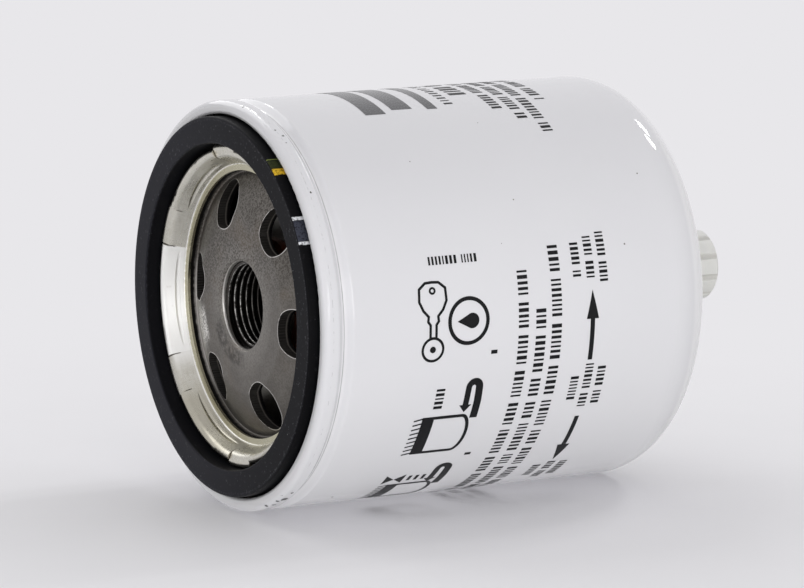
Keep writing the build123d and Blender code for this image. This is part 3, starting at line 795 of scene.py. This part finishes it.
# Thread ridge: half widths at crest and foot, how far it sinks in, and where it starts and fades out
THREAD_STEPS = 72
THREAD_CREST_HALF = 0.19
THREAD_FOOT_HALF = 0.66
THREAD_ROUNDING = 0.06
THREAD_SINK = 0.03
THREAD_TOP = 0.35
THREAD_START = math.radians(188)
THREAD_RUNOUT = 0.35
THREAD_LEAST = 0.02


def thread_outline(turn, turns):
    """The ridge's section after some turns, as radii and heights. It is lower at both ends."""
    rise = max(THREAD_LEAST, min(1, turn / THREAD_RUNOUT, (turns - turn) / THREAD_RUNOUT))
    root = THREAD_RADIUS + THREAD_SINK
    crest = root - (root - THREAD_CREST) * rise
    flat = THREAD_FOOT_HALF - (THREAD_FOOT_HALF - THREAD_CREST_HALF) * rise
    upper = [
        (crest, flat - THREAD_ROUNDING),
        (crest + THREAD_ROUNDING * rise, flat + THREAD_ROUNDING / 2),
        (root, THREAD_FOOT_HALF),
    ]
    return [(radius, -height) for radius, height in reversed(upper)] + upper


def thread_ridge():
    """The head thread's right-hand ridge, wound up the bore and fading out at both ends."""
    turns = (THREAD_LENGTH + THREAD_TOP - 2 * THREAD_FOOT_HALF) / THREAD_PITCH
    bm = bmesh.new()
    sections = []
    for step in range(round(turns * THREAD_STEPS) + 1):
        turn = step / THREAD_STEPS
        angle = THREAD_START + 2 * math.pi * turn
        level = -THREAD_LENGTH + THREAD_FOOT_HALF + THREAD_PITCH * turn
        sections.append([
            bm.verts.new(Vector((radius * math.cos(angle), radius * math.sin(angle), level + height)) * MM)
            for radius, height in thread_outline(turn, turns)
        ])
    for low, high in zip(sections, sections[1:]):
        for corner in range(len(low)):
            following = (corner + 1) % len(low)
            bm.faces.new((low[corner], high[corner], high[following], low[following]))
    bm.faces.new(sections[0])
    bm.faces.new(reversed(sections[-1]))
    bmesh.ops.recalc_face_normals(bm, faces=bm.faces)
    ridge = add_mesh("thread_ridge", bm)
    ridge.data.materials.append(oiled_steel())
    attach(ridge, "separator")


# Print on the can. Flat shapes are drawn as (along, around) in millimetres from a mark's own
# centre, along towards the drain and around towards falling angles, and are wrapped on the can.
PRINT_LIFT = 0.03
PRINT_CUT = 1.4
MITRE_LEAST = 0.5

# Small marks, in shares of a row's height: their widths, the gaps after a mark and after a group,
# and the room that a row needs for one more. A group has four to eight marks.
MARK_WIDTHS = (0.18, 0.26, 0.34)
MARK_GAP = 0.22
WORD_MARKS = (4, 8)
WORD_GAP = 0.45
ROW_END = 0.6


class Print:
    """A flat sheet of shapes that is wrapped round the can."""

    def __init__(self):
        self.bm = bmesh.new()

    def patch(self, outline, along, angle):
        """A filled outline."""
        shift = -math.radians(angle) * CAN_RADIUS
        points = [Vector((along + a, shift + b, 0)) for a, b in outline]
        corners = [self.bm.verts.new(point) for point in points]
        for triangle in tessellate_polygon([points]):
            self.bm.faces.new([corners[index] for index in triangle])

    def ribbon(self, line, widths, along, angle, closed=False):
        """A stroke along a line. Its width is one number, or one for each point."""
        shift = -math.radians(angle) * CAN_RADIUS
        points = [Vector((along + a, shift + b)) for a, b in line]
        count = len(points)
        sides = []
        for index, point in enumerate(points):
            before = points[index - 1] if index or closed else point
            after = points[(index + 1) % count] if index < count - 1 or closed else point
            arriving = (point - before).normalized() if point != before else (after - point).normalized()
            leaving = (after - point).normalized() if point != after else arriving
            normal = Vector((-(arriving.y + leaving.y), arriving.x + leaving.x)).normalized()
            mitre = max(MITRE_LEAST, normal.dot(Vector((-arriving.y, arriving.x))))
            width = widths[index] if isinstance(widths, (list, tuple)) else widths
            reach = normal * (width / 2 / mitre)
            sides.append([self.bm.verts.new((*side, 0)) for side in (point + reach, point - reach)])
        for index in range(count if closed else count - 1):
            near, far_side_light = sides[index], sides[(index + 1) % count]
            self.bm.faces.new((near[0], near[1], far_side_light[1], far_side_light[0]))

    def row(self, along, start, end, height, seed, gap=MARK_GAP, upright=True):
        """A row of small plain marks round the can. Where not upright, it runs along the can instead,
        at the angle that along gives."""
        pick = random.Random(seed)
        length = math.radians(abs(end - start)) * CAN_RADIUS if upright else end - start
        spot = 0.0
        left_in_word = pick.randint(*WORD_MARKS)
        while spot < length - height * ROW_END:
            width = height * pick.choice(MARK_WIDTHS)
            box = [(0, spot), (height, spot), (height, spot + width), (0, spot + width)]
            if upright:
                self.patch([(a - height / 2, b) for a, b in box], along, start)
            else:
                self.patch([(b, a - height / 2) for a, b in box], start, along)
            spot += width + gap * height
            left_in_word -= 1
            if left_in_word == 0:
                left_in_word = pick.randint(*WORD_MARKS)
                spot += height * WORD_GAP

    def wrap(self, name, finish):
        """Cuts the sheet into narrow strips and bends it round the can."""
        heights = [vertex.co.y for vertex in self.bm.verts]
        cut = math.floor(min(heights) / PRINT_CUT) * PRINT_CUT
        while cut < max(heights):
            everything = self.bm.verts[:] + self.bm.edges[:] + self.bm.faces[:]
            plane = {"plane_co": (0, cut, 0), "plane_no": (0, 1, 0)}
            bmesh.ops.bisect_plane(self.bm, geom=everything, dist=1e-6, **plane)
            cut += PRINT_CUT
        for vertex in self.bm.verts:
            angle = math.degrees(-vertex.co.y / CAN_RADIUS)
            vertex.co = can_point(vertex.co.x, angle, CAN_RADIUS + PRINT_LIFT) * MM
        self.bm.normal_update()
        for face in self.bm.faces:
            if face.normal.dot(face.calc_center_median() * Vector((1, 1, 0))) < 0:
                face.normal_flip()
        sheet = add_mesh(name, self.bm)
        sheet.data.materials.append(finish)
        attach(sheet, "separator")


def circle(radius, points=40, start=0.0, sweep=360.0):
    """Points round a circle or an arc, in (along, around)."""
    span = points if sweep == 360 else points - 1
    turns = [math.radians(start + sweep * index / span) for index in range(points)]
    return [(radius * math.cos(turn), radius * math.sin(turn)) for turn in turns]


# Bars: place along the can, width, and angles of their ends
PRINT_BARS = [(31.5, 5.2, -28.5, 36), (39.0, 5.2, -26.5, 36), (46.5, 2.6, -27.5, 36)]

# Rows under the bars, one along the can, the long ones, and those at the arrows and the filter:
# place along the can, angles of both ends, height of the marks, seed, and for two of them the gap.
# The one along the can has its angle first, and then the places of its ends.
PRINT_ROWS = [
    (51.7, 34, -27.5, 2.2, 11, 0.5),
    (57.0, 26, -21.0, 4.4, 12), (62.4, 34, -32.2, 2.6, 13), (66.6, 36, -36.5, 2.6, 14),
    (70.6, 38, -43.8, 2.6, 15), (75.2, 30, -28.2, 2.6, 16),
    (-80.2, 29.1, 42.1, 1.9, 17, MARK_GAP, False),
    (52.4, -84.9, -205, 2.6, 18), (56.9, -95.9, -212, 2.6, 19), (61.0, -78.7, -209, 2.6, 20),
    (66.6, -78.5, -89.5, 2.1, 21), (70.1, -77.0, -90.6, 2.1, 22), (73.5, -76.0, -91.7, 2.1, 23),
    (67.2, -116.7, -126.8, 2.1, 24), (70.6, -113.1, -129.1, 2.1, 25), (73.9, -114.2, -128.4, 2.1, 26),
    (67.5, -153.0, -163.8, 2.1, 27), (70.9, -151.5, -165.5, 2.1, 28), (74.2, -152.0, -164.5, 2.1, 29),
    (32.6, -116.5, -123.7, 2.2, 30),
]


def print_bars(ink):
    """Plain bars at the top of the label."""
    sheet = Print()
    for along, width, low, high in PRINT_BARS:
        reach = math.radians(high - low) * CAN_RADIUS
        sheet.ribbon([(0, 0), (0, -reach)], width, along, low)
    sheet.wrap("print_bars", ink)


def print_rows(ink):
    """Rows of small marks where the real can has lines of print."""
    sheet = Print()
    for row in PRINT_ROWS:
        sheet.row(*row)
    sheet.wrap("print_rows", ink)


ARROW_HEAD = (1.6, 6.6)
ARROW_SHAFT = 0.58
FILTER_TEETH = 9


def straight_arrow(sheet, along, tip, tail):
    """An arrow round the can, from the angle of its tail to the angle of its tip."""
    length = math.radians(tail - tip) * CAN_RADIUS
    way = 1 if length < 0 else -1
    length = abs(length)
    half, head = ARROW_HEAD
    outline = [
        (0, 0), (half, head), (ARROW_SHAFT, head), (ARROW_SHAFT, length),
        (-ARROW_SHAFT, length), (-ARROW_SHAFT, head), (-half, head),
    ]
    sheet.patch([(a, b * way) for a, b in outline], along, tip)


def hooked_arrow(sheet, along, angle):
    """A broad arrow that turns over and points back."""
    bend = [(1.35 * a, -3.2 + 1.5 * b) for a, b in circle(1, 13, -180, 180)]
    line = [(-1.35, 1.2), (-1.35, -1.0)] + bend + [(1.55, 0.5), (1.5, 5.0)]
    widths = [1.5, 1.5] + [1.5 + 0.03 * place for place in range(len(bend))] + [1.9, 1.9]
    sheet.ribbon(line, widths, along, angle)
    sheet.patch([(-2.95, 1.2), (0.2, 1.2), (-1.35, 3.2)], along, angle)


def filter_mark(sheet, along, angle):
    """A filter seen from the side: a hatched head, a broad band and a round-ended bowl."""
    half = 5.7
    for tooth in range(FILTER_TEETH):
        top = -half + 0.35 + tooth * (2 * half - 0.9) / (FILTER_TEETH - 1)
        sheet.ribbon([(-4.1, top + 0.45), (-2.0, top)], 0.42, along, angle)
    sheet.patch([(-2.0, -half), (1.05, -half), (1.05, half), (-2.0, half)], along, angle)
    side = half - 0.4
    dome = [(8.2 + 2.2 * a, side * b) for a, b in circle(1, 16, -90, 180)]
    sheet.ribbon([(1.05, -side)] + dome + [(1.05, side)], 0.85, along, angle)


def handle_mark(sheet, along, angle):
    """The outline of a small valve handle over its ring."""
    half = [
        (0.0, -8.6), (1.7, -8.5), (3.3, -7.2), (3.45, -4.4), (2.5, -2.4), (1.2, -1.0), (1.35, 0.1), (0.75, 0.9),
        (0.75, 3.9),
    ]
    line = half + [(-a, b) for a, b in reversed(half[1:])]
    sheet.ribbon(line, 0.62, along, angle, closed=True)
    sheet.ribbon([(a, b - 6.7) for a, b in circle(0.62, 20)], 0.5, along, angle, closed=True)
    sheet.ribbon([(a, b + 6.5) for a, b in circle(2.6, 40)], 0.62, along, angle, closed=True)
    sheet.patch([(a, b + 6.5) for a, b in circle(0.75, 20)], along, angle)


def drop_mark(sheet, along, angle):
    """A ring with a drop in it."""
    sheet.ribbon([(a, b * 1.04) for a, b in circle(4.85, 56)], 0.9, along, angle, closed=True)
    bowl = [(0.9 + a, b) for a, b in circle(1.75, 22, -128, 256)]
    sheet.patch([(-2.9, 0.0)] + bowl, along, angle)


def valve_mark(sheet, along, angle):
    """Two triangles point to point, with three short bars beside them."""
    sheet.patch([(-2.5, -2.1), (-0.05, 0.0), (-2.5, 2.1)], along, angle)
    sheet.patch([(2.5, -2.1), (2.5, 2.1), (0.05, 0.0)], along, angle)
    for place in (3.6, 5.4, 7.2):
        sheet.patch([(place, -1.2), (place + 0.85, -1.2), (place + 0.85, 1.2), (place, 1.2)], along, angle)


def print_marks(ink):
    """The label's drawn marks: arrows, filters, a handle and a drop."""
    sheet = Print()
    straight_arrow(sheet, 70.35, -91.9, -111.9)
    straight_arrow(sheet, 70.6, -150.4, -130.5)
    filter_mark(sheet, 31.5, -132.5)
    filter_mark(sheet, 31.5, -163.0)
    hooked_arrow(sheet, 41.1, -120.9)
    hooked_arrow(sheet, 41.1, -152.3)
    handle_mark(sheet, 29.3, -96.6)
    drop_mark(sheet, 38.3, -97.4)
    valve_mark(sheet, 29.9, -152.5)
    for along, angle in ((45.1, -107.0), (45.3, -142.0)):
        sheet.patch([(-0.8, -0.6), (0.8, -0.6), (0.8, 0.3), (-0.8, 0.3)], along, angle)
    sheet.wrap("print_marks", ink)


def print_label():
    """All the print on the can."""
    ink = black_ink()
    print_bars(grey_ink())
    print_rows(ink)
    print_marks(ink)


bpy.context.scene.view_settings.view_transform = "Standard"
set_camera()
make_floor()
light_studio()
dress_nodes()
thread_ridge()
print_label()
